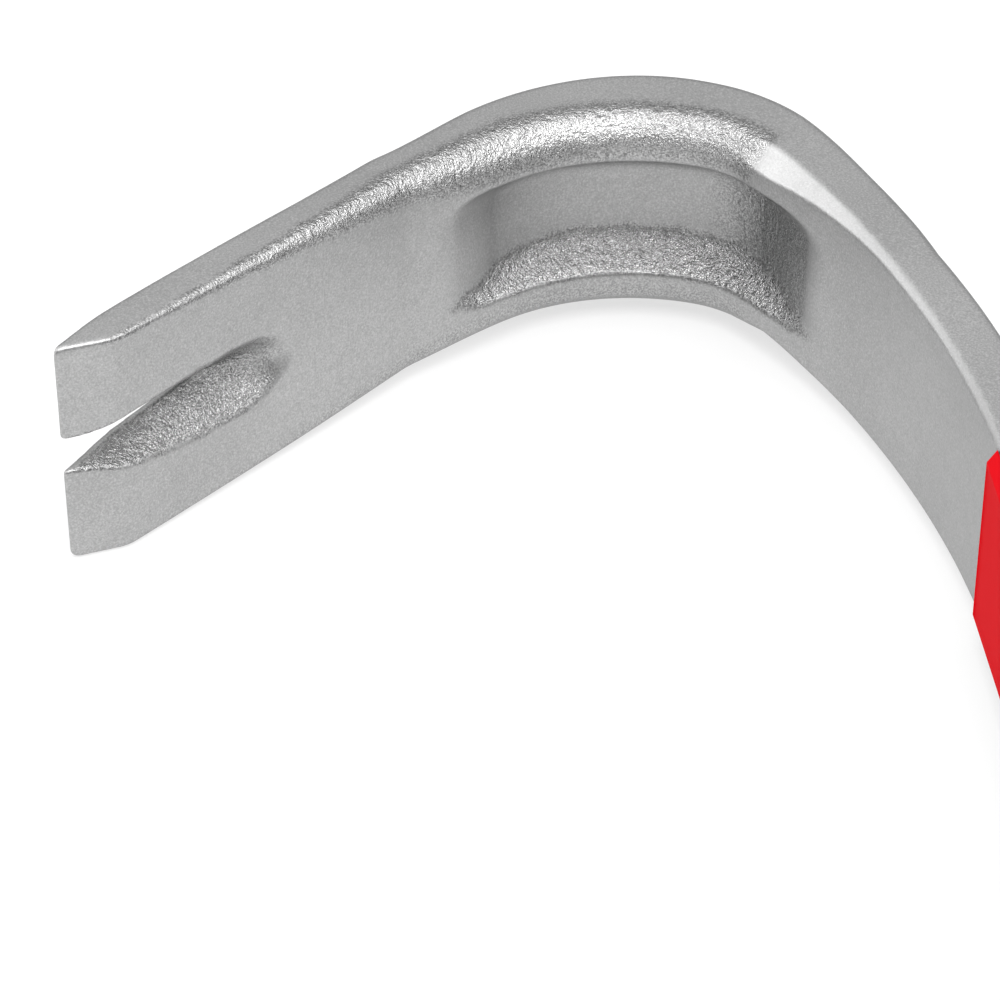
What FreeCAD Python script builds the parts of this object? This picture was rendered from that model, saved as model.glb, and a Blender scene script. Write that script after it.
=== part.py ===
import FreeCAD, Part
import math
import os

# Pry bar: one steel forging (nail claw, gooseneck, neck and tang) with a two-material moulded
# handle.  Millimetres.  The bar lies on its side: +X runs along the handle towards the head, +Y is
# the way the claw reaches, +Z is across the bar's width, and the object is symmetric about Z = 0.
# The origin is the centre of the hang hole in the butt.
#
# The forging is laid out along its inner (concave) face.  A "distance" is always measured along
# that face, in millimetres, from the end of the straight shank towards the claw's tip.

Vector = FreeCAD.Vector

# ---- overall ----
overall_length = 381.0          # butt to the top of the gooseneck, along the handle: 15 inches
hang_hole_to_butt = 15.0
full_width = 31.2               # claw tip and grip: both reach the plane that the bar lies on

# ---- inner face of the forging: arcs and straight runs, from the shank to the claw's tip ----
neck_radius, neck_turn = 154.0, 16.0            # slow curve of the neck, degrees
sweep_radius, sweep_turn = 89.0, 19.5           # quicker curve up to the shoulder
shoulder_radius, shoulder_turn = 13.3, 31.6     # tight curve before the crown
crown_radius, crown_turn = 27.0, 51.3           # top of the gooseneck
root_length = 14.5                              # straight run where the claw grows out
kink_radius, kink_turn = 10.0, 10.8
claw_length = 47.0                              # straight run of the claw
bevel_reach, bevel_rise = 6.4, 3.2              # tip bevel, along and across the claw
tip_edge = 0.5                                  # thickness left at the tip of the bevel
tang_length = 262.0                             # from the end of the shank into the handle

# ---- sections of the forging ----
shank_thickness = 7.1
crown_thickness = 12.7
shank_width = 26.4
tang_end_width = 20.0
bar_step = 4.0                                  # spacing of the lofted sections

# ---- claw's nail slot, in plan on the claw ----
slot_length = 34.5                              # from the tip to the end of the recess
slot_floor_depth = 4.6                          # below it the sides run straight through
slot_face_half_widths = (0.0, 2.5), (10.0, 4.2), (19.0, 5.3), (28.0, 4.9), (33.0, 2.6)
slot_floor_half_widths = (0.0, 2.4), (7.0, 2.1), (13.0, 1.4), (19.5, 0.7), (24.4, 0.25)
slot_through_length = 25.0                      # from the tip to the end of the open slot

# ---- pocket forged into the inner face of the gooseneck ----
pocket_depth = 5.0
pocket_top_half_width = 8.6
pocket_floor_half_width = 5.9
pocket_end_depth = 0.05
pocket_end_runs = 12.0, 7.0                     # over which the neck's end and the claw's deepen
pocket_margins = 14.0, 8.0                      # how far it runs past the sweep end, the crown end

# ---- handle, measured back from the front edge of its sleeve ----
sleeve_reach = 6.4                              # sleeve front past the end of the straight shank
grip_start, grip_end = 84.0, 262.0
grip_skin = 2.2                                 # thickness of the soft grip
hang_hole_radius = 4.5
lock_hole_radius = 4.5
lock_hole_distances = -96.0, -150.0, -204.0     # in the tang
groove_count = 15
groove_spacing = 8.0
groove_depth = 0.9
groove_radius = 1.7
first_groove = 112.0                            # behind the front edge of the sleeve


# ---- the inner face as a path ----
path_pieces = (                                 # (length, turn in degrees)
    (neck_radius * math.radians(neck_turn), neck_turn),
    (sweep_radius * math.radians(sweep_turn), sweep_turn),
    (shoulder_radius * math.radians(shoulder_turn), shoulder_turn),
    (crown_radius * math.radians(crown_turn), crown_turn),
    (root_length, 0.0),
    (kink_radius * math.radians(kink_turn), kink_turn),
    (claw_length, 0.0),
)


def path_ends():
    """Distance at which each piece of the path ends."""
    ends, total = [], 0.0
    for length, _ in path_pieces:
        total += length
        ends.append(total)
    return ends


neck_end, sweep_end, shoulder_end, crown_end, _, claw_start, bevel_start = path_ends()
tip = bevel_start + bevel_reach


def path_point(distance):
    """Place and heading in degrees on the inner face; the shank and the claw run on straight."""
    x, y, heading = 0.0, 0.0, 0.0
    if distance < 0.0:
        return distance, 0.0, 0.0
    left = distance
    for length, turn in path_pieces:
        step = min(left, length)
        bend = turn * step / length
        chord = step
        if turn:
            chord = 2.0 * length / math.radians(turn) * math.sin(math.radians(bend) / 2.0)
        direction = math.radians(heading + bend / 2.0)
        x += chord * math.cos(direction)
        y += chord * math.sin(direction)
        heading += bend
        left -= step
        if left <= 0.0:
            return x, y, heading
    direction = math.radians(heading)
    return x + left * math.cos(direction), y + left * math.sin(direction), heading


# ---- how the section changes along the path: (distance, value) ----
mid_sweep = (neck_end + sweep_end) / 2.0
mid_claw = (claw_start + bevel_start) / 2.0
thickness_profile = (
    (neck_end, shank_thickness), (mid_sweep, 8.6), (sweep_end, 11.3),
    (shoulder_end + 5.0, crown_thickness), (crown_end, 10.2), (claw_start, 7.2),
    (bevel_start - 3.0, 5.3), (tip, bevel_rise + tip_edge))
width_profile = (
    (-tang_length, tang_end_width), (0.0, shank_width), (neck_end, 28.2), (mid_sweep, 28.6),
    (crown_end, 29.2), (mid_claw, 30.7), (tip, full_width))
inner_edge_profile = (
    (0.0, 0.6), (neck_end, 1.2), (mid_sweep, 2.4), (sweep_end, 3.1), (crown_end, 4.0),
    (claw_start, 2.7), (mid_claw, 1.3), (bevel_start, 0.5), (tip, 0.3))
outer_edge_profile = (
    (0.0, 0.8), (mid_sweep, 1.6), (shoulder_end, 2.0), (claw_start, 1.2), (tip, 0.3))


def profile_value(profile, distance):
    """Smooth value through the profile's points, with no overshoot between them."""
    if distance <= profile[0][0]:
        return profile[0][1]
    if distance >= profile[-1][0]:
        return profile[-1][1]
    slopes = []
    for (x0, y0), (x1, y1) in zip(profile, profile[1:]):
        slopes.append((y1 - y0) / (x1 - x0))
    tangents = [slopes[0]]
    for before, after in zip(slopes, slopes[1:]):
        flat = before * after <= 0.0
        tangents.append(0.0 if flat else 2.0 * before * after / (before + after))
    tangents.append(slopes[-1])
    for i in range(len(slopes)):
        (x0, y0), (x1, y1) = profile[i], profile[i + 1]
        if distance <= x1:
            span = x1 - x0
            t = (distance - x0) / span
            rise = y0 + (y1 - y0) * t * t * (3.0 - 2.0 * t)
            lean = tangents[i] * t * (1.0 - t) ** 2 - tangents[i + 1] * t * t * (1.0 - t)
            return rise + span * lean
    return profile[-1][1]


# ---- placing the path in the part's frame ----
def crown_height():
    """Height of the gooseneck's outer face above the end of the shank."""
    heights = []
    for i in range(int(sweep_end), int(claw_start)):
        x, _, heading = path_point(i)
        heights.append(x + profile_value(thickness_profile, i) * math.sin(math.radians(heading)))
    return max(heights)


butt_x = -hang_hole_to_butt
shank_end_x = butt_x + overall_length - crown_height()
sleeve_front_x = shank_end_x + sleeve_reach


def place(distance, depth, z):
    """Point of the forging: depth below the inner face at a distance, at height z."""
    x, y, heading = path_point(distance)
    angle = math.radians(heading)
    return Vector(shank_end_x + x + depth * math.sin(angle),
                  shank_thickness / 2.0 + y - depth * math.cos(angle), z)


# ---- outline helpers ----
def closed_wire(points):
    """Straight-sided closed wire through the points."""
    return Part.makePolygon(list(points) + [points[0]])


def rounded_section(corners, radii):
    """Closed wire with an arc of the given radius at each corner."""
    edges, starts, ends, middles = [], [], [], []
    count = len(corners)
    for i, corner in enumerate(corners):
        back = corners[i - 1] - corner
        ahead = corners[(i + 1) % count] - corner
        back.normalize()
        ahead.normalize()
        half_angle = back.getAngle(ahead) / 2.0
        trim = radii[i] / math.tan(half_angle)
        middle = back + ahead
        middle.normalize()
        starts.append(corner + back * trim)
        ends.append(corner + ahead * trim)
        middles.append(corner + middle * (radii[i] / math.sin(half_angle) - radii[i]))
    for i in range(count):
        edges.append(Part.Arc(starts[i], middles[i], ends[i]).toShape())
        edges.append(Part.makeLine(ends[i], starts[(i + 1) % count]))
    return Part.Wire(edges)


def spaced(first, last, step):
    """Evenly spaced values from first to last, no further apart than step."""
    count = max(1, math.ceil((last - first) / step))
    return [first + (last - first) * i / count for i in range(count + 1)]


# ---- the forging ----
def bar_section(distance):
    """Rounded rectangle across the bar at a distance."""
    thickness = profile_value(thickness_profile, distance)
    half_width = profile_value(width_profile, distance) / 2.0
    inner = profile_value(inner_edge_profile, distance)
    outer = profile_value(outer_edge_profile, distance)
    corners = [place(distance, 0.0, -half_width), place(distance, thickness, -half_width),
               place(distance, thickness, half_width), place(distance, 0.0, half_width)]
    return rounded_section(corners, [inner, outer, outer, inner])


def bar_run(first, last, step):
    """Length of the forging between two distances, lofted through sections a step apart."""
    return Part.makeLoft([bar_section(distance) for distance in spaced(first, last, step)], True, False)


def bar_blank():
    """The forging before its slot, pocket, bevel and holes: tang, neck, gooseneck and claw."""
    neck = bar_run(0.0, sweep_end, bar_step)
    tang = bar_run(-tang_length, 0.0, tang_length)
    gooseneck = bar_run(sweep_end, claw_start, bar_step)
    claw = bar_run(claw_start, tip, bar_step)
    return neck.fuse([tang, gooseneck, claw])


def tip_bevel():
    """Wedge that takes the claw's inner face down to its cutting edge."""
    past = 2.0                                  # run the cut out past the tip and the sides
    slope = bevel_rise / bevel_reach
    outline = [place(bevel_start - past, -past * slope, -full_width),
               place(tip + past, bevel_rise + past * slope, -full_width),
               place(tip + past, -bevel_rise, -full_width)]
    face = Part.Face(closed_wire(outline))
    return face.extrude(Vector(0, 0, 2.0 * full_width))


def slot_outline(depth):
    """Outline of the nail slot at a depth: a teardrop at the inner face, a wedge at its floor."""
    share = depth / slot_floor_depth

    def blend(at_face, at_floor):
        return at_face + (at_floor - at_face) * share

    def side(sign):
        """Points down one side, from the mouth to the start of the apex."""
        return [place(tip - blend(s0, s1), depth, sign * blend(w0, w1))
                for (s0, w0), (s1, w1) in zip(slot_face_half_widths, slot_floor_half_widths)]

    upper, lower = Part.BSplineCurve(), Part.BSplineCurve()
    upper.interpolate(side(1.0))
    lower.interpolate(side(-1.0)[::-1])
    end = place(tip - blend(slot_length, slot_through_length), depth, 0.0)
    apex = Part.Arc(side(1.0)[-1], end, side(-1.0)[-1])
    mouth = blend(slot_face_half_widths[0][1], slot_floor_half_widths[0][1])
    past_tip = tip + 3.0                        # run the cut out past the tip
    mouth_corners = [side(-1.0)[0], place(past_tip, depth, -mouth), place(past_tip, depth, mouth),
                     side(1.0)[0]]
    edges = [upper.toShape(), apex.toShape(), lower.toShape()]
    edges += [Part.makeLine(a, b) for a, b in zip(mouth_corners, mouth_corners[1:])]
    return Part.Wire(edges)


def nail_slot():
    """Slot cutter: a flared recess in the inner face over a narrow slot that goes right through."""
    above, through = -1.0, 4.0                  # clear of the inner face, and of the outer one
    recess = Part.makeLoft([slot_outline(above), slot_outline(slot_floor_depth)], True, True)
    outward = place(tip, slot_floor_depth + through, 0.0) - place(tip, slot_floor_depth, 0.0)
    return recess.fuse(Part.Face(slot_outline(slot_floor_depth)).extrude(outward))


def pocket_cutter():
    """Trough cut into the inner face round the gooseneck, ramping out at each end."""
    first = sweep_end - pocket_margins[0]
    last = crown_end + pocket_margins[1]
    above = 1.5                                 # start the cut clear of the inner face
    end_share = 0.82                            # width left at the two ends
    edge_radius, floor_share = 0.2, 0.4         # floor's corner radius is a share of the cut's height
    sections = []
    for distance in spaced(first, last, bar_step):
        ramp = min(1.0, (distance - first) / pocket_end_runs[0], (last - distance) / pocket_end_runs[1])
        depth = pocket_depth * ramp + pocket_end_depth
        narrowing = end_share + (1.0 - end_share) * ramp
        top = pocket_top_half_width * narrowing
        floor = pocket_floor_half_width * narrowing
        corners = [place(distance, -above, -top), place(distance, depth, -floor),
                   place(distance, depth, floor), place(distance, -above, top)]
        floor_radius = floor_share * (depth + above)
        sections.append(rounded_section(corners, [edge_radius, floor_radius, floor_radius, edge_radius]))
    return Part.makeLoft(sections, True, False)


def lock_holes():
    """Cylinders through the tang that the handle's material flows through."""
    holes = []
    for distance in lock_hole_distances:
        start = place(distance, -1.0, 0.0)
        holes.append(Part.makeCylinder(lock_hole_radius, shank_thickness + 2.0, start,
                                       Vector(0, -1, 0)))
    return holes


def forged_bar():
    return bar_blank().cut([tip_bevel(), nail_slot(), pocket_cutter()] + lock_holes())


# ---- the handle ----
handle_length = sleeve_front_x - butt_x
handle_thickness_profile = (
    (0.0, 9.8), (20.0, 10.0), (48.0, 11.8), (72.0, 16.4), (grip_start + 8.0, 24.0), (122.0, 22.6),
    (168.0, 25.6),
    (222.0, 23.4), (246.0, 22.2), (272.0, 24.6), (handle_length, 23.6))
handle_width_profile = (
    (0.0, 28.8), (20.0, 28.8), (48.0, 29.1), (72.0, 30.0), (grip_start + 8.0, 32.0), (122.0, 31.4),
    (168.0, 33.0),
    (222.0, 32.0), (246.0, 31.4), (272.0, 32.4), (handle_length, 32.0))
chamfer_y_profile = (0.0, 2.2), (40.0, 2.7), (grip_start, 7.0), (handle_length, 7.4)
chamfer_z_profile = (0.0, 3.2), (40.0, 3.9), (grip_start, 8.0), (handle_length, 8.4)
handle_step = 6.0                               # spacing of the lofted sections
butt_round = 4.0


def octagon(back, inset):
    """Corners of the chamfered section at a distance behind the sleeve's front."""
    half_y = profile_value(handle_thickness_profile, back) / 2.0
    half_z = profile_value(handle_width_profile, back) / 2.0
    facet_y = half_y - profile_value(chamfer_y_profile, back) - 0.4 * inset
    facet_z = half_z - profile_value(chamfer_z_profile, back) - 0.4 * inset
    half_y -= inset
    half_z -= inset
    ring = [(half_y, facet_z), (facet_y, half_z), (-facet_y, half_z), (-half_y, facet_z),
            (-half_y, -facet_z), (-facet_y, -half_z), (facet_y, -half_z), (half_y, -facet_z)]
    return [Vector(sleeve_front_x - back, y, z) for y, z in ring]


def handle_form(inset):
    """Solid inside the handle's outline, inset from it: facets ruled between eight long curves."""
    stations = spaced(0.0, handle_length, handle_step)
    rings = [octagon(back, inset) for back in stations]
    ridges = []
    for corner in zip(*rings):
        curve = Part.BSplineCurve()
        curve.interpolate(Points=list(corner), Parameters=stations)
        ridges.append(curve.toShape())
    facets = [Part.makeRuledSurface(a, b) for a, b in zip(ridges, ridges[1:] + ridges[:1])]
    caps = [Part.Face(closed_wire(ring)) for ring in (rings[0], rings[-1])]
    shell = Part.makeShell(facets + caps)
    shell.sewShape()
    return Part.makeSolid(shell)


def slab(x_low, x_high, half_y, half_z):
    """Box centred on the handle's axis between two stations."""
    return Part.makeBox(x_high - x_low, 2.0 * half_y, 2.0 * half_z, Vector(x_low, -half_y, -half_z))


def handle_envelope():
    """Outer form of core and grip together, with flat sides to lie on and a rounded butt."""
    sides = slab(butt_x, sleeve_front_x, full_width, full_width / 2.0)
    form = handle_form(0.0).common(sides)
    butt_edges = [edge for edge in form.Edges if edge.BoundBox.XMax < butt_x + 0.01]
    return form.makeFillet(butt_round, butt_edges)


def grip_zone():
    """The length of handle that the soft grip covers."""
    return slab(sleeve_front_x - grip_end, sleeve_front_x - grip_start, full_width, full_width)


def hang_hole():
    return Part.makeCylinder(hang_hole_radius, 2.0 * full_width, Vector(0, -full_width, 0),
                             Vector(0, 1, 0))


def grip_grooves():
    """Round-bottomed finger grooves across the front and back of the grip."""
    grooves = []
    for i in range(groove_count):
        back = first_groove + i * groove_spacing
        half_thickness = profile_value(handle_thickness_profile, back) / 2.0
        centre = half_thickness + groove_radius - groove_depth
        for side in (-1.0, 1.0):
            start = Vector(sleeve_front_x - back, side * centre, -full_width)
            grooves.append(Part.makeCylinder(groove_radius, 2.0 * full_width, start, Vector(0, 0, 1)))
    return grooves


def handle_core(bar, envelope, grip_seat):
    """Hard moulding: everything in the envelope but the bar, the grip and the hang hole."""
    outside_grip = envelope.cut(grip_zone())
    return outside_grip.fuse(grip_seat).cut([bar, hang_hole()])


def soft_grip(envelope, grip_seat):
    """Soft moulding over the waist of the core."""
    return envelope.common(grip_zone()).cut([grip_seat] + grip_grooves())


# ---- write the pieces ----
os.makedirs("parts", exist_ok=True)
bar = forged_bar()
envelope = handle_envelope()
grip_seat = handle_form(grip_skin).common(grip_zone())
pieces = {
    "forged_bar": bar,
    "handle_core": handle_core(bar, envelope, grip_seat),
    "soft_grip": soft_grip(envelope, grip_seat),
}
for name, shape in pieces.items():
    solid = shape.removeSplitter()
    print(name, "valid", solid.isValid(), "solids", len(solid.Solids), "volume", round(solid.Volume))
    solid.exportStep("parts/" + name + ".step")
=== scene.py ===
import math

import bmesh
import bpy
import numpy as np
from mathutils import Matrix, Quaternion, Vector


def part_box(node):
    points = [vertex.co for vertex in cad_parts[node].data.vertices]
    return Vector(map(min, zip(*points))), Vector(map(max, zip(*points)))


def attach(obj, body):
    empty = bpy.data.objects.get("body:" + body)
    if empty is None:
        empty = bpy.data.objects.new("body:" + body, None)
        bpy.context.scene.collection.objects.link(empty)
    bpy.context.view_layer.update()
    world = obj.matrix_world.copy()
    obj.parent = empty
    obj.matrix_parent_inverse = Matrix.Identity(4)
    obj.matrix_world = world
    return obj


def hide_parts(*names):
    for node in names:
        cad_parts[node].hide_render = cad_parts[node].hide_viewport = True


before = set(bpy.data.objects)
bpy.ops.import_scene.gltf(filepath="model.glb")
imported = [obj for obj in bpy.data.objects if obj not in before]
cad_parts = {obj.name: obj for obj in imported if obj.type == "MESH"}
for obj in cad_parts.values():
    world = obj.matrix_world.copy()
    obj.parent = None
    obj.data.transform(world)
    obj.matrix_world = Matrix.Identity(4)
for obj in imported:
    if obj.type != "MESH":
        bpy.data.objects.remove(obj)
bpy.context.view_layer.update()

# Looks for the pry bar.  Metres in Blender; the shape work below is in millimetres and is scaled
# by MM when it becomes a mesh.  The forging is described along its inner (concave) face: distance
# runs from the end of the straight shank to the claw's tip, depth goes from the inner face to the
# outer one, and z is across the bar's width.

MM = 0.001


# ---------------------------------------------------------------- driving dimensions, millimetres
neck_radius, neck_turn = 154.0, 16.0
sweep_radius, sweep_turn = 89.0, 19.5
shoulder_radius, shoulder_turn = 13.3, 31.6
crown_radius, crown_turn = 27.0, 51.3
root_length = 14.5
kink_radius, kink_turn = 10.0, 10.8
claw_length = 47.0
bevel_reach, bevel_rise, tip_edge = 6.4, 3.2, 0.5
shank_thickness, crown_thickness = 7.1, 12.7
shank_width = 26.4
sleeve_reach = 6.4              # straight shank inside the sleeve's front
grip_start, grip_end = 84.0, 262.0              # behind the sleeve's front
grip_skin = 2.2                 # thickness of the soft grip


# ---------------------------------------------------------------- places, from the frame
def corners(node):
    """Lowest and highest corner of a CAD node in millimetres."""
    low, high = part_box(node)
    return np.array(low) / MM, np.array(high) / MM


bar_low, bar_high = corners("forged_bar")
core_low, core_high = corners("handle_core")
full_width = bar_high[2] - bar_low[2]
sleeve_front_x = core_high[0]
shank_end_x = sleeve_front_x - sleeve_reach
butt_x = core_low[0]
handle_length = sleeve_front_x - butt_x


# ---------------------------------------------------------------- the inner face as a path
path_pieces = (                 # length and turn in degrees, from the shank to the claw
    (neck_radius * math.radians(neck_turn), neck_turn),
    (sweep_radius * math.radians(sweep_turn), sweep_turn),
    (shoulder_radius * math.radians(shoulder_turn), shoulder_turn),
    (crown_radius * math.radians(crown_turn), crown_turn),
    (root_length, 0.0),
    (kink_radius * math.radians(kink_turn), kink_turn),
    (claw_length, 0.0),
)


def path_stations():
    """Start of each path piece: distance, x, y, heading in radians, length and turn."""
    stations = [(0.0, shank_end_x, shank_thickness / 2.0, 0.0, 0.0, 0.0)]
    distance, x, y, heading = 0.0, shank_end_x, shank_thickness / 2.0, 0.0
    for length, degrees in path_pieces:
        turn = math.radians(degrees)
        stations.append((distance, x, y, heading, length, turn))
        chord = length if turn == 0.0 else 2.0 * length / turn * math.sin(turn / 2.0)
        x += chord * math.cos(heading + turn / 2.0)
        y += chord * math.sin(heading + turn / 2.0)
        heading += turn
        distance += length
    return stations


stations = path_stations()
neck_end, sweep_end, shoulder_end, crown_end, _, claw_start = [s[0] for s in stations[2:]]
bevel_start = claw_start + claw_length
tip = bevel_start + bevel_reach
mid_sweep = (neck_end + sweep_end) / 2.0
mid_claw = (claw_start + bevel_start) / 2.0


middle_depth = 4.0              # near the middle of the section, to settle between two stretches
past_end_weight = 4.0           # how much worse a point past a stretch's end scores for it


def along_bar(points):
    """Distance and depth of each point, by the path piece whose stretch it lies beside."""
    x, y = points[:, 0], points[:, 1]
    best = np.full(len(x), np.inf)
    distance = np.zeros(len(x))
    depth = np.zeros(len(x))
    last = len(stations) - 1
    for index, (start, x0, y0, heading, length, turn) in enumerate(stations):
        if turn == 0.0:
            dx, dy = x - x0, y - y0
            run = dx * math.cos(heading) + dy * math.sin(heading)
            deep = dx * math.sin(heading) - dy * math.cos(heading)
        else:
            radius = length / turn
            cx = x0 - radius * math.sin(heading)
            cy = y0 + radius * math.cos(heading)
            angle = np.arctan2(y - cy, x - cx) - (heading - math.pi / 2.0)
            angle = (angle + math.pi) % (2.0 * math.pi) - math.pi
            run = angle * radius
            deep = np.hypot(x - cx, y - cy) - radius
        low = -np.inf if index == 0 else 0.0
        high = 0.0 if index == 0 else np.inf if index == last else length
        past = np.maximum(np.maximum(low - run, run - high), 0.0)
        score = past * past_end_weight + np.abs(deep - middle_depth)
        better = score < best
        best = np.where(better, score, best)
        distance = np.where(better, start + run, distance)
        depth = np.where(better, deep, depth)
    return distance, depth


def profile(points, values):
    """Smooth values through the profile's points, with no overshoot between them."""
    xs = np.array([p[0] for p in points])
    ys = np.array([p[1] for p in points])
    slopes = np.diff(ys) / np.diff(xs)
    tangents = np.zeros(len(xs))
    tangents[0], tangents[-1] = slopes[0], slopes[-1]
    before, after = slopes[:-1], slopes[1:]
    rising = before * after > 0.0
    tangents[1:-1][rising] = (2.0 * before * after)[rising] / (before + after)[rising]
    values = np.clip(values, xs[0], xs[-1])
    i = np.clip(np.searchsorted(xs, values) - 1, 0, len(xs) - 2)
    span = xs[i + 1] - xs[i]
    t = (values - xs[i]) / span
    rise = ys[i] + (ys[i + 1] - ys[i]) * t * t * (3.0 - 2.0 * t)
    lean = tangents[i] * t * (1.0 - t) ** 2 - tangents[i + 1] * t * t * (1.0 - t)
    return rise + span * lean


thickness_profile = (
    (neck_end, shank_thickness), (mid_sweep, 8.6), (sweep_end, 11.3),
    (shoulder_end + 5.0, crown_thickness), (crown_end, 10.2), (claw_start, 7.2),
    (bevel_start - 3.0, 5.3), (tip, bevel_rise + tip_edge))
width_profile = (
    (0.0, shank_width), (neck_end, 28.2), (mid_sweep, 28.6), (crown_end, 29.2),
    (mid_claw, 30.7), (tip, full_width))
inner_edge_profile = (
    (0.0, 0.9), (neck_end, 1.2), (mid_sweep, 2.1), (sweep_end, 3.9), (crown_end, 4.2),
    (claw_start, 2.7), (mid_claw, 1.3), (bevel_start, 0.5), (tip, 0.4))
outer_edge_profile = (
    (0.0, 0.8), (mid_sweep, 1.6), (shoulder_end, 2.0), (claw_start, 1.2), (tip, 0.4))


# ---------------------------------------------------------------- noise and blending helpers
def lattice(ix, iy, iz, seed):
    """Repeatable pseudo-random value from -1 to 1 at each lattice corner."""
    h = (ix * 73856093) ^ (iy * 19349663) ^ (iz * 83492791) ^ (seed * 2654435)
    h = (h ^ (h >> 13)) * 1274126177
    h = (h ^ (h >> 16)) & 0xFFFFFF
    return h / float(0x7FFFFF) - 1.0


def noise(points, size, seed):
    """Smooth value noise with lumps about size across."""
    q = points / size
    base = np.floor(q).astype(np.int64)
    t = q - base
    t = t * t * t * (t * (t * 6.0 - 15.0) + 10.0)
    total = np.zeros(len(points))
    for dx in (0, 1):
        wx = t[:, 0] if dx else 1.0 - t[:, 0]
        for dy in (0, 1):
            wy = t[:, 1] if dy else 1.0 - t[:, 1]
            for dz in (0, 1):
                wz = t[:, 2] if dz else 1.0 - t[:, 2]
                corner = lattice(base[:, 0] + dx, base[:, 1] + dy, base[:, 2] + dz, seed)
                total += wx * wy * wz * corner
    return total


def smooth_max(a, b, blend):
    """The larger of two fields, with the crease between them rounded over blend."""
    h = np.maximum(blend - np.abs(a - b), 0.0) / blend
    return np.maximum(a, b) + h * h * blend * 0.25


def step(low, high, values):
    """Smooth ramp from 0 at low to 1 at high; low may be above high."""
    t = np.clip((values - low) / (high - low), 0.0, 1.0)
    return t * t * (3.0 - 2.0 * t)


# ---------------------------------------------------------------- the forging as a field
trimmed_share, rounded_share = 0.806, 0.586     # chamfer leg as a share of the inner edge's size
chamfer_change = 4.0            # half the length over which the flat chamfer turns round
crisp_edge = 0.3                # rounding left where the inner edge is a flat chamfer
chamfer_blend = 0.25
slot_length, slot_through_length = 34.5, 25.0
slot_face_half_widths = ((0.0, 2.5), (10.0, 4.1), (19.0, 5.0), (28.0, 4.3), (33.0, 2.2),
                         (slot_length, 0.8), (40.0, -5.0))
slot_floor_half_widths = ((0.0, 2.4), (5.0, 2.1), (10.0, 1.4), (15.0, 0.7), (20.0, 0.2),
                          (slot_through_length, 0.0), (31.0, -3.0), (40.0, -9.0))
slot_land = 0.9                 # straight wall left at the outer face
slot_drift = 0.5                # how far the slot's closed end sits below the claw's middle
slot_scoop = 2.2                # rounds the bottom of the flare where it runs out
slot_wall_slant = 0.75          # about the cosine of the flare's lean
slot_margin = 8.0               # how far past the slot its field is worked out
pocket_start, pocket_stop = sweep_end - 14.0, crown_end + 9.5
pocket_near_run, pocket_far_run = 15.5, 14.0     # how gently each end ramps out
pocket_depth = 5.0
pocket_half_width = 8.6
pocket_draft = 0.54             # how much its side walls lean in per millimetre of depth
pocket_wall_slant = 0.88        # cosine of that lean, so that the field measures distance
pocket_corner = 2.2
pocket_floor_blend = 2.0
pocket_rim_blend = 0.7
chamfer_end = sweep_end - 1.5
tip_corner_radius = 1.3
bevel_blend, tip_blend, slot_blend = 0.7, 0.3, 0.4
outside = -9.0                  # stands for "far from this hollow" in a field


def bar_body(distance, depth, z):
    """Rounded rectangle section; near the handle the inner edges are flat chamfers instead."""
    thickness = profile(thickness_profile, distance)
    half_width = profile(width_profile, distance) / 2.0
    inner = profile(inner_edge_profile, distance)
    outer = profile(outer_edge_profile, distance)
    flat = step(chamfer_end + chamfer_change, chamfer_end - chamfer_change, distance)
    edge = inner * (1.0 - flat) + np.minimum(inner, crisp_edge) * flat
    radius = np.where(depth < thickness / 2.0, edge, outer)
    across = np.abs(z) - half_width + radius
    through = np.abs(depth - thickness / 2.0) - thickness / 2.0 + radius
    corner = np.hypot(np.maximum(across, 0.0), np.maximum(through, 0.0))
    section = corner + np.minimum(np.maximum(across, through), 0.0) - radius
    leg = inner * (rounded_share + (trimmed_share - rounded_share) * flat)
    face = (np.abs(z) - half_width - depth + leg) / math.sqrt(2.0)
    return smooth_max(section, face, chamfer_blend)


def slot_half_width(from_tip, depth, thickness):
    """Half width of the nail slot: a straight land at the outer face, then a rounded flare."""
    wide = profile(slot_face_half_widths, from_tip)
    through = profile(slot_floor_half_widths, from_tip)
    reach = np.maximum(thickness - slot_land, 0.6)
    left = np.clip(1.0 - np.maximum(depth, 0.0) / reach, 0.0, 1.0)
    return through + (wide - through) * (0.7 * left + 0.3 * left ** 2)


def nail_slot(distance, depth, z):
    """Field of the slot, negative inside it."""
    from_tip = tip - distance
    thickness = profile(thickness_profile, distance)
    scoop = slot_scoop * step(slot_through_length - 5.0, slot_length - 4.0, from_tip)
    middle = -slot_drift * step(6.0, 16.0, from_tip)
    across = np.hypot(z - middle, scoop) - scoop * 0.5
    return (across - slot_half_width(from_tip, depth, thickness)) * slot_wall_slant


def pocket(distance, depth, z):
    """Field of the pocket round the inside of the gooseneck, negative inside it."""
    near = pocket_start - distance + depth * pocket_near_run / pocket_depth
    far = distance - pocket_stop + depth * pocket_far_run / pocket_depth
    near *= pocket_depth / math.hypot(pocket_depth, pocket_near_run)
    far *= pocket_depth / math.hypot(pocket_depth, pocket_far_run)
    end = np.maximum(near, far) + pocket_corner
    side = (np.abs(z) - pocket_half_width + pocket_draft * depth) * pocket_wall_slant + pocket_corner
    plan = np.hypot(np.maximum(end, 0.0), np.maximum(side, 0.0))
    plan += np.minimum(np.maximum(end, side), 0.0) - pocket_corner
    return smooth_max(plan, depth - pocket_depth, pocket_floor_blend)


def tip_corners(distance, z):
    """Field that rounds the two outer corners of the claw's tips."""
    half_width = profile(width_profile, distance) / 2.0
    along = np.maximum(distance - tip + tip_corner_radius, 0.0)
    across = np.maximum(np.abs(z) - half_width + tip_corner_radius, 0.0)
    return np.hypot(along, across) - tip_corner_radius


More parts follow.
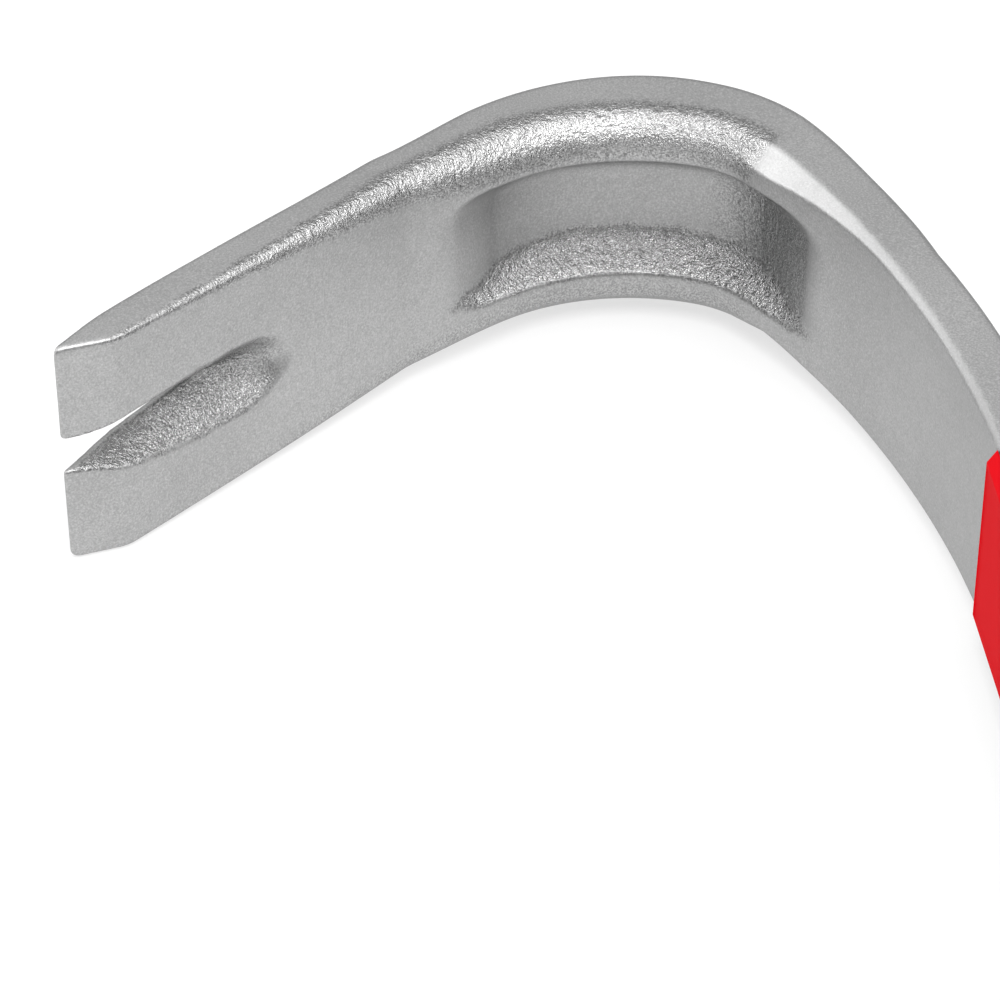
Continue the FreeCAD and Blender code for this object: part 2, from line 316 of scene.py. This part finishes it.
def bar_field(points):
    """Field of the whole forging, negative inside; its zero level is the surface."""
    distance, depth = along_bar(points)
    z = points[:, 2]
    field = bar_body(distance, depth, z)
    bevel_slope = bevel_rise / bevel_reach
    bevel = ((distance - bevel_start) * bevel_slope - depth) / math.hypot(1.0, bevel_slope)
    field = smooth_max(field, bevel, bevel_blend)
    field = smooth_max(field, tip_corners(distance, z), tip_blend)
    near_slot = distance > tip - slot_length - slot_margin
    slot = np.where(near_slot, -nail_slot(distance, depth, z), outside)
    field = smooth_max(field, slot, slot_blend)
    hollow = np.where(distance > 0.0, -pocket(distance, depth, z), outside)
    return smooth_max(field, hollow, pocket_rim_blend)


def field_gradient(points, reach=0.05):
    """Central-difference gradient of the forging's field."""
    gradient = np.zeros_like(points)
    for axis in range(3):
        shift = np.zeros(3)
        shift[axis] = reach
        gradient[:, axis] = bar_field(points + shift) - bar_field(points - shift)
    return gradient / (2.0 * reach)


# ---------------------------------------------------------------- mesh helpers
def read_points(mesh):
    """Vertex positions in millimetres."""
    flat = np.empty(len(mesh.vertices) * 3, np.float32)
    mesh.vertices.foreach_get("co", flat)
    return flat.reshape(-1, 3).astype(float) / MM


def write_points(mesh, points):
    """Moves the vertices to positions given in millimetres."""
    mesh.vertices.foreach_set("co", (points * MM).astype(np.float32).ravel())
    mesh.update()


def add_attribute(mesh, name, values):
    """Per-vertex number that the material can read."""
    layer = mesh.attributes.new(name, "FLOAT", "POINT")
    layer.data.foreach_set("value", values.astype(np.float32))


def apply_modifiers(piece):
    """Bakes a piece's modifiers into its mesh."""
    graph = bpy.context.evaluated_depsgraph_get()
    mesh = bpy.data.meshes.new_from_object(piece.evaluated_get(graph))
    piece.modifiers.clear()
    piece.data = mesh


def copy_of(node, name):
    """New object with a copy of a CAD node's mesh."""
    piece = bpy.data.objects.new(name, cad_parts[node].data.copy())
    piece.data.materials.clear()
    bpy.context.scene.collection.objects.link(piece)
    return piece


def shade_smooth(mesh):
    """Smooth shading on every face."""
    mesh.polygons.foreach_set("use_smooth", [True] * len(mesh.polygons))


# ---------------------------------------------------------------- the forging's mesh
bar_voxel = 0.32                # spacing of the remeshed surface
head_triangles = 185000         # about what is left of it after lightening
faired_reach = 20.0             # how far inside the sleeve the faired surface begins
fairing_rounds, longest_push = 9, 0.5
wave_height, lump_height = 0.02, 0.045          # depth of the hammered waves and of the lumps


def fair_to_field(mesh):
    """Moves the remeshed head on to the field's surface, leaving the tang as it is."""
    points = read_points(mesh)
    head = points[:, 0] > sleeve_front_x - faired_reach
    moved = points[head]
    for _ in range(fairing_rounds):
        value = bar_field(moved)
        gradient = field_gradient(moved)
        steepness = np.maximum((gradient ** 2).sum(1), 0.05)
        push = np.clip(value / steepness, -longest_push, longest_push)
        moved -= gradient * push[:, None]
    points[head] = moved
    write_points(mesh, points)
    return head


def rough_round(points, distance, depth, fray):
    """The forged round on the inner edge, from the shoulder to the claw's bevel."""
    half_width = profile(width_profile, distance) / 2.0
    radius = profile(inner_edge_profile, distance)
    side_gap = half_width - np.abs(points[:, 2])
    rough = step(radius * 1.5, radius * 0.7, side_gap + fray * 0.45)
    rough *= step(radius * 1.5, radius * 0.7, depth + fray * 0.45)
    rough *= step(-10.0, 8.0, points[:, 2]) * 0.8 + 0.2     # the lower edge is much smoother
    rough *= step(chamfer_end - 1.0, chamfer_end + 1.0, distance + fray)
    return rough * step(tip, bevel_start - 2.0, distance) * (0.35 + 0.65 * step(0.6, 2.0, radius))


def rough_pocket(points, distance, depth, fray):
    """The pocket's lower wall, and fainter streaks up the end nearer the handle."""
    inside = step(0.8, 0.3, pocket(distance, depth, points[:, 2]))
    inside *= step(0.0, 0.5, depth + fray * 0.2)
    side_gap = pocket_half_width - pocket_draft * depth - np.abs(points[:, 2])
    wall = step(1.9, 0.7, side_gap + fray * 0.5) * step(3.0, -3.0, points[:, 2])
    near = distance - pocket_start - depth * pocket_near_run / pocket_depth
    streaks = step(6.0, 0.0, near + fray) * step(1.5, 3.5, distance - pocket_start) * 0.45
    return inside * np.maximum(wall, streaks)


def rough_slot(points, distance, depth, fray):
    """The flared walls of the nail slot, but not the land at its outer face."""
    thickness = profile(thickness_profile, distance)
    rough = step(0.3, 0.1, nail_slot(distance, depth, points[:, 2])) * 0.9
    rough *= step(thickness - 0.7, thickness - 1.3, depth)
    rough *= step(slot_length - 1.0, slot_length - 6.0, tip - distance + fray)
    return rough * step(0.0, 0.5, depth + fray * 0.4)


def painted_facet_highlight(points, distance, depth):
    """Where the flat chamfer along the neck gets a painted highlight: a lighter tone, with slightly
    ragged borders.
    """
    half_width = profile(width_profile, distance) / 2.0
    reach = profile(inner_edge_profile, distance) * 0.8
    ragged = noise(points, 1.1, 13) * 0.12
    on_facet = step(reach + 0.12, reach - 0.1, half_width - points[:, 2] + ragged)
    on_facet *= step(reach + 0.12, reach - 0.1, depth + ragged)
    return on_facet * step(chamfer_end + 3.0, chamfer_end - 3.0, distance)


def worn_and_highlight_streak(points, distance, depth):
    """Streak along the round between the crown and the claw: its grain a little flatter, as if rubbed,
    and lighter in tone as a painted highlight.
    """
    half_width = profile(width_profile, distance) / 2.0
    radius = profile(inner_edge_profile, distance)
    ragged = noise(points, 0.9, 14) * 0.35 + noise(points, 2.5, 15) * 0.3
    share = depth / radius + ragged * 0.25
    streak = step(0.04, 0.14, share) * step(0.62, 0.34, share)
    streak *= step(1.1, 0.9, (half_width - points[:, 2]) / radius)
    streak *= step(shoulder_end, shoulder_end + 16.0, distance)
    return streak * step(bevel_start, claw_start + 12.0, distance)


def forge_texture(mesh, head):
    """Raises the lumps of forging, and stores where the surface is rough and where a painted highlight
    lightens it.
    """
    points = read_points(mesh)
    skin = points[head]
    distance, depth = along_bar(skin)
    fray = noise(skin, 2.2, 11) * 0.7 + noise(skin, 0.8, 12) * 0.5
    rough_parts = [zone(skin, distance, depth, fray) for zone in (rough_round, rough_pocket, rough_slot)]
    wear_and_highlight = worn_and_highlight_streak(skin, distance, depth)
    rough = np.clip(np.max(rough_parts, axis=0), 0.0, 1.0) * (1.0 - 0.12 * wear_and_highlight)
    # painted highlight: the neck's chamfer and the streak along the round get a lighter steel tone in
    # the material
    bright = np.maximum(painted_facet_highlight(skin, distance, depth), wear_and_highlight)
    lumps = noise(skin, 1.1, 1) * 0.5 + noise(skin, 0.7, 2) * 0.5
    waves = noise(skin, 9.0, 3) * 0.6 + noise(skin, 4.0, 4) * 0.4
    height = waves * wave_height + lumps * rough * lump_height
    normals = np.empty(len(points) * 3, np.float32)
    mesh.vertices.foreach_get("normal", normals)
    points[head] += normals.reshape(-1, 3)[head] * height[:, None]
    write_points(mesh, points)
    for name, values in (("rough_zone", rough), ("painted_highlight_zone", bright)):
        everywhere = np.zeros(len(points))
        everywhere[head] = values
        add_attribute(mesh, name, everywhere)


def lighten(piece, head):
    """Collapses most of the hidden tang's faces, and the flattest of the head's."""
    hidden = piece.vertex_groups.new(name="hidden")
    for part, weight in ((head, 0.02), (~head, 1.0)):
        hidden.add([int(i) for i in np.flatnonzero(part)], weight, "REPLACE")
    triangles = 2 * len(piece.data.polygons)
    decimate = piece.modifiers.new("lighten", "DECIMATE")
    decimate.ratio = min(1.0, head_triangles / triangles)
    decimate.vertex_group = "hidden"
    decimate.vertex_group_factor = 1000.0
    apply_modifiers(piece)
    piece.vertex_groups.clear()


def build_forging():
    """The forging: the CAD solid remeshed finely, faired to the field, roughened and lightened."""
    piece = copy_of("forged_bar", "forging")
    remesh = piece.modifiers.new("remesh", "REMESH")
    remesh.mode = "VOXEL"
    remesh.voxel_size = bar_voxel * MM
    apply_modifiers(piece)
    head = fair_to_field(piece.data)
    forge_texture(piece.data, head)
    lighten(piece, head)
    shade_smooth(piece.data)
    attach(piece, "root")
    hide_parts("forged_bar")
    return piece


forging = build_forging()


# ---------------------------------------------------------------- the handle's form
handle_thickness_profile = (
    (0.0, 9.8), (20.0, 10.0), (48.0, 11.8), (72.0, 16.4), (92.0, 24.0), (122.0, 22.6),
    (168.0, 25.6), (222.0, 23.4), (246.0, 22.2), (272.0, 24.6), (handle_length, 23.6))
handle_width_profile = (
    (0.0, 28.8), (20.0, 28.8), (48.0, 29.1), (72.0, 30.0), (92.0, 32.0), (122.0, 31.4),
    (168.0, 33.0), (222.0, 32.0), (246.0, 31.4), (272.0, 32.4), (handle_length, 32.0))
chamfer_y_profile = (0.0, 2.2), (40.0, 2.7), (grip_start, 7.0), (handle_length, 7.4)
chamfer_z_profile = (0.0, 3.2), (40.0, 3.9), (grip_start, 8.0), (handle_length, 8.4)
ridge_radius_profile = (0.0, 0.35), (40.0, 0.5), (grip_start, 1.6), (handle_length, 1.8)
side_plane = full_width / 2.0
lip_radius = 0.45               # rounding of the sleeve's front edge and of the grip's ends
butt_radius = 4.0
groove_count, groove_spacing, first_groove = 15, 8.0, 112.0
groove_radius, groove_depth, groove_lip = 1.7, 0.9, 0.5
hang_hole_radius, hang_hole_lip = 4.5, 0.9
hang_hole_sides, lip_steps = 48, 6
neck_gap, socket_depth = 0.18, 6.0              # fine gap round the neck at the sleeve's front
overshoot = 2.0                 # how far a cutting tool reaches past the surface it cuts
step_size, seat_step, groove_step = 2.0, 6.0, 0.45      # spacing of rings: outside, seat, grooves


def profile_at(points, value):
    """A profile's value at one place."""
    return float(profile(points, np.array([value]))[0])


def octagon(back, inset):
    """Corners of the handle's chamfered section, cut by the planes that the bar lies on."""
    half_y = profile_at(handle_thickness_profile, back) / 2.0
    half_z = profile_at(handle_width_profile, back) / 2.0
    chamfer_y = profile_at(chamfer_y_profile, back)
    chamfer_z = profile_at(chamfer_z_profile, back)
    facet_z = half_z - chamfer_z - 0.4 * inset
    over = max(half_z - side_plane, 0.0)
    facet_y = half_y - chamfer_y + over * chamfer_y / chamfer_z - 0.4 * inset
    half_y -= inset
    half_z = min(half_z, side_plane) - inset
    return np.array([(half_y, facet_z), (facet_y, half_z), (-facet_y, half_z), (-half_y, facet_z),
                     (-half_y, -facet_z), (-facet_y, -half_z), (facet_y, -half_z),
                     (half_y, -facet_z)])


def rounded_ring(back, inset, corner_points=6, side_points=5):
    """The section with round ridges: y and z of points in order round it."""
    corner_list = octagon(back, inset)
    radius = max(profile_at(ridge_radius_profile, back) - 0.3 * inset, 0.15)
    ring = []
    count = len(corner_list)
    for i in range(count):
        here = corner_list[i]
        to_last = corner_list[i - 1] - here
        to_next = corner_list[(i + 1) % count] - here
        to_last /= np.linalg.norm(to_last)
        to_next /= np.linalg.norm(to_next)
        half = math.acos(max(-1.0, min(1.0, float(to_last @ to_next)))) / 2.0
        bisector = (to_last + to_next) / np.linalg.norm(to_last + to_next)
        centre = here + bisector * radius / math.sin(half)
        first = here + to_last * radius / math.tan(half) - centre
        last = here + to_next * radius / math.tan(half) - centre
        sweep = math.atan2(first[0] * last[1] - first[1] * last[0], float(first @ last))
        for j in range(corner_points + 1):
            angle = sweep * j / corner_points
            cos, sin = math.cos(angle), math.sin(angle)
            turned = (first[0] * cos - first[1] * sin, first[0] * sin + first[1] * cos)
            ring.append((centre[0] + turned[0], centre[1] + turned[1]))
    return even_sides(np.array(ring), corner_points + 1, side_points)


def even_sides(ring, per_corner, side_points):
    """Adds points along the flat sides between the corner arcs."""
    out = []
    count = len(ring)
    for start in range(0, count, per_corner):
        out.extend(ring[start:start + per_corner])
        a = ring[start + per_corner - 1]
        b = ring[(start + per_corner) % count]
        out.extend(a + (b - a) * (k + 1.0) / (side_points + 1.0) for k in range(side_points))
    return np.array(out)


def loft(name, rings, closed_tube=False):
    """Mesh through rings of equal point count: capped ends, or a tube closed on itself."""
    count = len(rings[0])
    points = np.vstack(rings) * MM
    faces = []
    last = len(rings) if closed_tube else len(rings) - 1
    for i in range(last):
        a, b = i * count, (i + 1) % len(rings) * count
        for j in range(count):
            k = (j + 1) % count
            faces.append((a + j, b + j, b + k, a + k))
    if not closed_tube:
        faces.append(tuple(range(count)))
        faces.append(tuple(range(len(points) - 1, len(points) - 1 - count, -1)))
    mesh = bpy.data.meshes.new(name)
    mesh.from_pydata(points.tolist(), [], faces)
    piece = bpy.data.objects.new(name, mesh)
    bpy.context.scene.collection.objects.link(piece)
    work = bmesh.new()
    work.from_mesh(mesh)
    bmesh.ops.recalc_face_normals(work, faces=work.faces)
    work.to_mesh(mesh)
    work.free()
    return piece


def ring_at(back, inset):
    """The handle's section at a distance behind its front, as points in millimetres."""
    ring = rounded_ring(back, inset)
    x = np.full((len(ring), 1), sleeve_front_x - back)
    return np.hstack([x, ring])


def quarter_round(start, radius, rising, steps=5):
    """(back, inset) pairs of a rounded end: rising from a full inset, or falling to one."""
    pairs = []
    for i in range(steps + 1):
        angle = math.pi / 2.0 * i / steps
        if rising:
            pairs.append((start + radius * (1.0 - math.cos(angle)), radius * (1.0 - math.sin(angle))))
        else:
            pairs.append((start - radius * (1.0 - math.sin(angle)), radius * (1.0 - math.cos(angle))))
    return pairs


def run(first, last, inset, spacing):
    """(back, inset) pairs at an even spacing, ends left out."""
    count = max(2, int(math.ceil((last - first) / spacing)))
    return [(first + (last - first) * i / count, inset) for i in range(1, count)]


def cut(piece, tool):
    """Boolean difference, applied; the tool is removed."""
    boolean = piece.modifiers.new("cut", "BOOLEAN")
    boolean.operation = "DIFFERENCE"
    boolean.solver = "EXACT"
    boolean.object = tool
    apply_modifiers(piece)
    bpy.data.objects.remove(tool)


def hang_hole_tool():
    """Spool along Y: a bore with rounded lips at the handle's two faces."""
    half = profile_at(handle_thickness_profile, sleeve_front_x) / 2.0
    lathe = [(-half - overshoot, hang_hole_radius + hang_hole_lip)]
    for i in range(lip_steps + 1):
        angle = math.pi / 2.0 * i / lip_steps
        rise = hang_hole_lip * (1.0 - math.cos(angle))
        flare = hang_hole_lip * (1.0 - math.sin(angle))
        lathe.append((-half + rise, hang_hole_radius + flare))
    lathe += [(-y, radius) for y, radius in reversed(lathe)]
    angles = np.arange(hang_hole_sides) * 2.0 * math.pi / hang_hole_sides
    rings = []
    for y, radius in lathe:
        level = np.full(hang_hole_sides, y)
        rings.append(np.stack([radius * np.cos(angles), level, radius * np.sin(angles)], 1))
    return loft("hang_hole_tool", rings)


def neck_socket_tool():
    """Box a little larger than the neck, reaching into the sleeve's front."""
    half_y, half_z = shank_thickness / 2.0 + neck_gap, shank_width / 2.0 + neck_gap
    outline = [(half_y, half_z), (-half_y, half_z), (-half_y, -half_z), (half_y, -half_z)]
    rings = []
    for x in (sleeve_front_x - socket_depth, sleeve_front_x + overshoot):
        rings.append(np.array([(x, y, z) for y, z in outline]))
    return loft("neck_socket_tool", rings)


def auto_smooth(mesh, degrees):
    """Smooth shading, with edges sharper than the angle left sharp."""
    work = bmesh.new()
    work.from_mesh(mesh)
    for face in work.faces:
        face.smooth = True
    for edge in work.edges:
        if len(edge.link_faces) == 2:
            edge.smooth = edge.calc_face_angle() < math.radians(degrees)
    work.to_mesh(mesh)
    work.free()


def build_core():
    """The hard handle: sleeve, seat under the grip, and butt with its hang hole."""
    wall = 0.01                 # the seat's end walls are upright but for this
    pairs = quarter_round(0.0, lip_radius, True)
    pairs += run(lip_radius, grip_start - lip_radius, 0.0, step_size)
    pairs += quarter_round(grip_start, lip_radius, False)
    pairs += [(grip_start + wall, grip_skin)]
    pairs += run(grip_start, grip_end, grip_skin, seat_step)
    pairs += [(grip_end - wall, grip_skin)]
    pairs += quarter_round(grip_end, lip_radius, True)
    pairs += run(grip_end + lip_radius, handle_length - butt_radius, 0.0, step_size)
    pairs += quarter_round(handle_length, butt_radius, False, 10)
    piece = loft("hard_handle", [ring_at(back, inset) for back, inset in pairs])
    cut(piece, hang_hole_tool())
    cut(piece, neck_socket_tool())
    auto_smooth(piece.data, 35.0)
    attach(piece, "root")
    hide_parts("handle_core")
    return piece


def grooved(ring, back):
    """Presses the finger grooves into a ring's front and back."""
    half = profile_at(handle_thickness_profile, back) / 2.0
    i = min(max(round((back - first_groove) / groove_spacing), 0), groove_count - 1)
    along = back - (first_groove + i * groove_spacing)
    if abs(along) >= groove_radius + 1.0:
        return ring
    deep = math.sqrt(max(groove_radius ** 2 - along ** 2, 0.0))
    floor = half + groove_radius - groove_depth - deep
    floor += max(abs(along) - groove_radius, 0.0) * 2.0
    y = np.abs(ring[:, 1])
    blend = np.maximum(groove_lip - np.abs(y - floor), 0.0) / groove_lip
    y = np.minimum(y, floor) - blend ** 2 * groove_lip * 0.25
    ring[:, 1] = np.copysign(y, ring[:, 1])
    return ring


def build_grip():
    """The soft grip: a closed tube with its grooves pressed in, front and back."""
    grooves_from = first_groove - 3.0
    grooves_to = first_groove + (groove_count - 1) * groove_spacing + 3.0
    outer = quarter_round(grip_start, lip_radius, True)
    outer += run(grip_start + lip_radius, grooves_from, 0.0, step_size)
    outer += run(grooves_from, grooves_to, 0.0, groove_step)
    outer += run(grooves_to, grip_end - lip_radius, 0.0, step_size)
    outer += quarter_round(grip_end, lip_radius, False)
    inner = [(grip_end, grip_skin)] + run(grip_start, grip_end, grip_skin, seat_step)[::-1]
    inner += [(grip_start, grip_skin)]
    rings = [grooved(ring_at(back, inset), back) for back, inset in outer]
    rings += [ring_at(back, inset) for back, inset in inner]
    piece = loft("soft_grip_skin", rings, True)
    auto_smooth(piece.data, 50.0)
    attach(piece, "root")
    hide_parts("soft_grip")
    return piece


core = build_core()
grip = build_grip()


# ---------------------------------------------------------------- materials
class Shader:
    """Small helper for building a node material: each method adds a node and gives its output."""

    def __init__(self, name):
        self.material = bpy.data.materials.new(name)
        self.material.use_nodes = True
        self.tree = self.material.node_tree
        self.surface = self.tree.nodes["Principled BSDF"]

    def feed(self, socket, value):
        """Links a node's output to the socket, or sets a plain value."""
        if isinstance(value, bpy.types.NodeSocket):
            self.tree.links.new(value, socket)
        else:
            socket.default_value = value

    def math(self, operation, a, b=0.0):
        made = self.tree.nodes.new("ShaderNodeMath")
        made.operation = operation
        self.feed(made.inputs[0], a)
        self.feed(made.inputs[1], b)
        return made.outputs[0]

    def mix(self, factor, a, b):
        made = self.tree.nodes.new("ShaderNodeMix")
        made.data_type = "RGBA"
        self.feed(made.inputs[0], factor)
        self.feed(made.inputs[6], a)
        self.feed(made.inputs[7], b)
        return made.outputs[2]

    def mix_value(self, factor, a, b):
        made = self.tree.nodes.new("ShaderNodeMix")
        self.feed(made.inputs[0], factor)
        self.feed(made.inputs[2], a)
        self.feed(made.inputs[3], b)
        return made.outputs[0]

    def place(self):
        """The object's own coordinates, in metres."""
        return self.tree.nodes.new("ShaderNodeTexCoord").outputs["Object"]

    def noise(self, scale, detail=2.0, roughness=0.5):
        made = self.tree.nodes.new("ShaderNodeTexNoise")
        self.feed(made.inputs["Vector"], self.place())
        self.feed(made.inputs["Scale"], scale)
        self.feed(made.inputs["Detail"], detail)
        self.feed(made.inputs["Roughness"], roughness)
        return made.outputs["Fac"]

    def ramp(self, value, low, high):
        """0 at low to 1 at high, clamped; low may be above high."""
        made = self.tree.nodes.new("ShaderNodeMapRange")
        self.feed(made.inputs["Value"], value)
        self.feed(made.inputs["From Min"], low)
        self.feed(made.inputs["From Max"], high)
        made.clamp = True
        return made.outputs["Result"]

    def attribute(self, name):
        made = self.tree.nodes.new("ShaderNodeAttribute")
        made.attribute_name = name
        return made.outputs["Fac"]

    def bump(self, height, distance, strength=1.0, normal=None):
        made = self.tree.nodes.new("ShaderNodeBump")
        self.feed(made.inputs["Height"], height)
        self.feed(made.inputs["Distance"], distance)
        self.feed(made.inputs["Strength"], strength)
        if normal is not None:
            self.feed(made.inputs["Normal"], normal)
        return made.outputs["Normal"]

    def finish(self, **inputs):
        """Feeds the surface's inputs by name, and hands back the material."""
        for key, value in inputs.items():
            self.feed(self.surface.inputs[key.replace("_", " ")], value)
        return self.material


def grey(value):
    """Neutral colour of one level."""
    return (value, value, value, 1.0)


def forged_steel():
    """Blasted and zinc-plated steel: fine satin speckle on flats, bright grainy forged rounds, a painted
    highlight on the neck's chamfer and part of the round, and a painted dark rim where the surface turns
    edge-on.
    """
    s = Shader("forged_steel")
    rough = s.attribute("rough_zone")
    bright = s.attribute("painted_highlight_zone")
    speckle = s.noise(3800.0, 2.0, 0.7)
    mottle = s.noise(700.0, 4.0, 0.6)
    cloud = s.noise(60.0, 3.0, 0.5)
    tone = s.mix(s.ramp(cloud, 0.35, 0.65), grey(0.43), grey(0.47))
    layers = (
        (s.ramp(mottle, 0.50, 0.72), 0.4, 0.39),            # faint darker blotches
        (s.ramp(speckle, 0.50, 0.72), 0.6, 0.66),           # light specks
        (s.ramp(speckle, 0.50, 0.30), 0.6, 0.32),           # dark specks
        (bright, 0.5, 0.68))                                # painted highlight on the neck's chamfer and along the rubbed round
    for mask, strength, level in layers:
        tone = s.mix(s.math("MULTIPLY", mask, strength), tone, grey(level))
    fringe = s.math("MULTIPLY", s.math("MULTIPLY", rough, s.math("SUBTRACT", 1.0, rough)), 4.0)
    fringe = s.math("MULTIPLY", fringe, s.math("SUBTRACT", 1.0, bright))
    fringe = s.math("MULTIPLY", fringe, s.ramp(speckle, 0.56, 0.42))
    tone = s.mix(s.math("MULTIPLY", fringe, 0.65), tone, grey(0.16))    # dark specks round a rough zone
    # painted shade: the steel's colour turns dark grey where its surface turns edge-on to the view, a
    # dark rim painted along the outline
    edge_on = s.tree.nodes.new("ShaderNodeLayerWeight").outputs["Facing"]
    tone = s.mix(s.math("MULTIPLY", s.ramp(edge_on, 0.5, 0.92), 0.75), tone, grey(0.27))
    fine = s.bump(speckle, 0.000035, 1.0)
    grain, clumps = s.noise(3300.0, 2.0, 0.65), s.noise(1100.0, 3.0, 0.6)
    coarse = s.bump(grain, s.math("MULTIPLY", rough, 0.00022), 1.0, fine)
    broad = s.bump(clumps, s.math("MULTIPLY", rough, 0.00035), 1.0, coarse)
    roughness = s.mix_value(rough, s.mix_value(mottle, 0.42, 0.54), 0.24)
    return s.finish(Base_Color=tone, Metallic=1.0, Roughness=roughness, Normal=broad)


def red_moulding():
    """Smooth red hard plastic with a faint moulded grain."""
    s = Shader("red_moulding")
    cloud = s.noise(60.0, 3.0, 0.5)
    colour = s.mix(cloud, (0.61, 0.002, 0.006, 1.0), (0.65, 0.003, 0.009, 1.0))
    seen = s.tree.nodes.new("ShaderNodeLightPath").outputs["Is Camera Ray"]
    colour = s.mix(seen, grey(0.2), colour)     # its glow on the floor and the steel stays neutral
    grain = s.bump(s.noise(1800.0, 2.0, 0.6), 0.00003, 0.3)
    edge_on = s.tree.nodes.new("ShaderNodeLayerWeight").outputs["Facing"]
    shine = s.ramp(edge_on, 0.85, 0.2)
    shine = s.math("MULTIPLY", shine, 0.09)
    return s.finish(Base_Color=colour, Roughness=0.5, Specular_IOR_Level=shine, Normal=grain)


def black_grip():
    """Soft black elastomer with a fine leathery grain."""
    s = Shader("black_grip")
    cloud = s.noise(80.0, 3.0, 0.5)
    colour = s.mix(cloud, (0.012, 0.012, 0.013, 1.0), (0.024, 0.024, 0.026, 1.0))
    grain = s.bump(s.noise(1100.0, 3.0, 0.6), 0.00008, 0.5)
    return s.finish(Base_Color=colour, Roughness=0.62, Normal=grain)


def dress(piece, material):
    """Gives a piece its one material."""
    piece.data.materials.clear()
    piece.data.materials.append(material)


dress(forging, forged_steel())
dress(core, red_moulding())
dress(grip, black_grip())


# ---------------------------------------------------------------- floor, light and camera
def build_floor():
    """Pale floor that the bar's side rests on, lit a little from within to stay near white."""
    mesh = bpy.data.meshes.new("floor")
    half = 4.0
    z = -full_width / 2.0 * MM
    outline = [(-half, -half, z), (half, -half, z), (half, half, z), (-half, half, z)]
    mesh.from_pydata(outline, [], [(0, 1, 2, 3)])
    floor = bpy.data.objects.new("floor", mesh)
    bpy.context.scene.collection.objects.link(floor)
    s = Shader("floor")
    dress(floor, s.finish(Base_Color=grey(0.3), Roughness=0.8, Emission_Color=grey(1.0),
                          Emission_Strength=0.66))


def add_light(name, place, aim, size, power):
    """Square soft light at place, turned towards aim; metres and watts."""
    light = bpy.data.lights.new(name, "AREA")
    light.shape = "SQUARE"
    light.size = size
    light.energy = power
    lamp = bpy.data.objects.new(name, light)
    lamp.location = place
    lamp.rotation_euler = (Vector(aim) - Vector(place)).to_track_quat("-Z", "Y").to_euler()
    bpy.context.scene.collection.objects.link(lamp)


view_azimuth, view_elevation = 263.67, 38.0     # the camera looks along this heading, and down
camera_distance = 499.2
camera_roll = -0.1              # degrees
focal_length = 144.0
crook = np.array([bar_high[0] - 43.7, 56.15, -19.9])     # where the camera aims, under the crook


def view_direction(azimuth, elevation):
    """Direction of looking along a heading and down, both in degrees."""
    a, e = math.radians(azimuth), math.radians(elevation)
    return Vector((-math.sin(a) * math.cos(e), math.cos(a) * math.cos(e), -math.sin(e)))


def build_camera():
    """Long lens aimed under the crook, at the viewing angle of the picture."""
    look = view_direction(view_azimuth, view_elevation)
    camera = bpy.data.cameras.new("camera")
    camera.lens = focal_length
    camera.sensor_width = 36.0
    camera.clip_start = 0.01
    holder = bpy.data.objects.new("camera", camera)
    holder.location = (Vector(crook) - look * camera_distance) * MM
    roll = Quaternion((0.0, 0.0, 1.0), math.radians(camera_roll))
    holder.rotation_euler = (look.to_track_quat("-Z", "Y") @ roll).to_euler()
    bpy.context.scene.collection.objects.link(holder)
    bpy.context.scene.camera = holder


room_level = 0.80               # brightness of the room overhead
horizon_level = 0.25            # and near the horizon
camera_side_level = 0.12        # share of both left on the camera's side


def build_world():
    """Soft white room: bright overhead and behind, dim near the horizon and round the camera."""
    world = bpy.data.worlds.new("studio")
    world.use_nodes = True
    tree = world.node_tree
    background = tree.nodes["Background"]
    coordinates = tree.nodes.new("ShaderNodeTexCoord")

    def facing(direction):
        made = tree.nodes.new("ShaderNodeVectorMath")
        made.operation = "DOT_PRODUCT"
        tree.links.new(coordinates.outputs["Generated"], made.inputs[0])
        made.inputs[1].default_value = direction.normalized()
        return made.outputs["Value"]

    def fade(value, low, high, at_low, at_high):
        made = tree.nodes.new("ShaderNodeMapRange")
        made.interpolation_type = "SMOOTHSTEP"
        tree.links.new(value, made.inputs["Value"])
        made.inputs["From Min"].default_value = low
        made.inputs["From Max"].default_value = high
        made.inputs["To Min"].default_value = at_low
        made.inputs["To Max"].default_value = at_high
        return made.outputs["Result"]

    toward_camera = view_direction(view_azimuth, 0.0) * -1.0
    height = fade(facing(Vector((0.0, 0.0, 1.0))), 0.2, 0.58, horizon_level, room_level)
    shade = fade(facing(toward_camera + Vector((0.0, 0.0, 0.35))), 0.55, 0.9, 1.0, camera_side_level)
    product = tree.nodes.new("ShaderNodeMath")
    product.operation = "MULTIPLY"
    tree.links.new(height, product.inputs[0])
    tree.links.new(shade, product.inputs[1])
    tree.links.new(product.outputs[0], background.inputs["Strength"])
    background.inputs["Color"].default_value = (1.0, 1.0, 1.0, 1.0)
    bpy.context.scene.world = world


def build_light():
    """The room, a soft light overhead and one at each side."""
    build_world()
    aim = Vector(crook) * MM
    toward = view_direction(view_azimuth, 0.0)
    lamps = (                   # name, place from the aim, size, power
        ("overhead", Vector((0.0, 0.0, 0.85)) - toward * 0.22, 0.75, 7.5),
        ("left", Vector((0.20, 0.80, 0.42)), 0.6, 2.6),
        ("right", Vector((-0.32, -0.60, 0.56)), 0.42, 1.6))
    for name, offset, size, power in lamps:
        add_light(name, aim + offset, aim, size, power)
    bpy.context.scene.view_settings.view_transform = "Standard"


build_floor()
build_camera()
build_light()
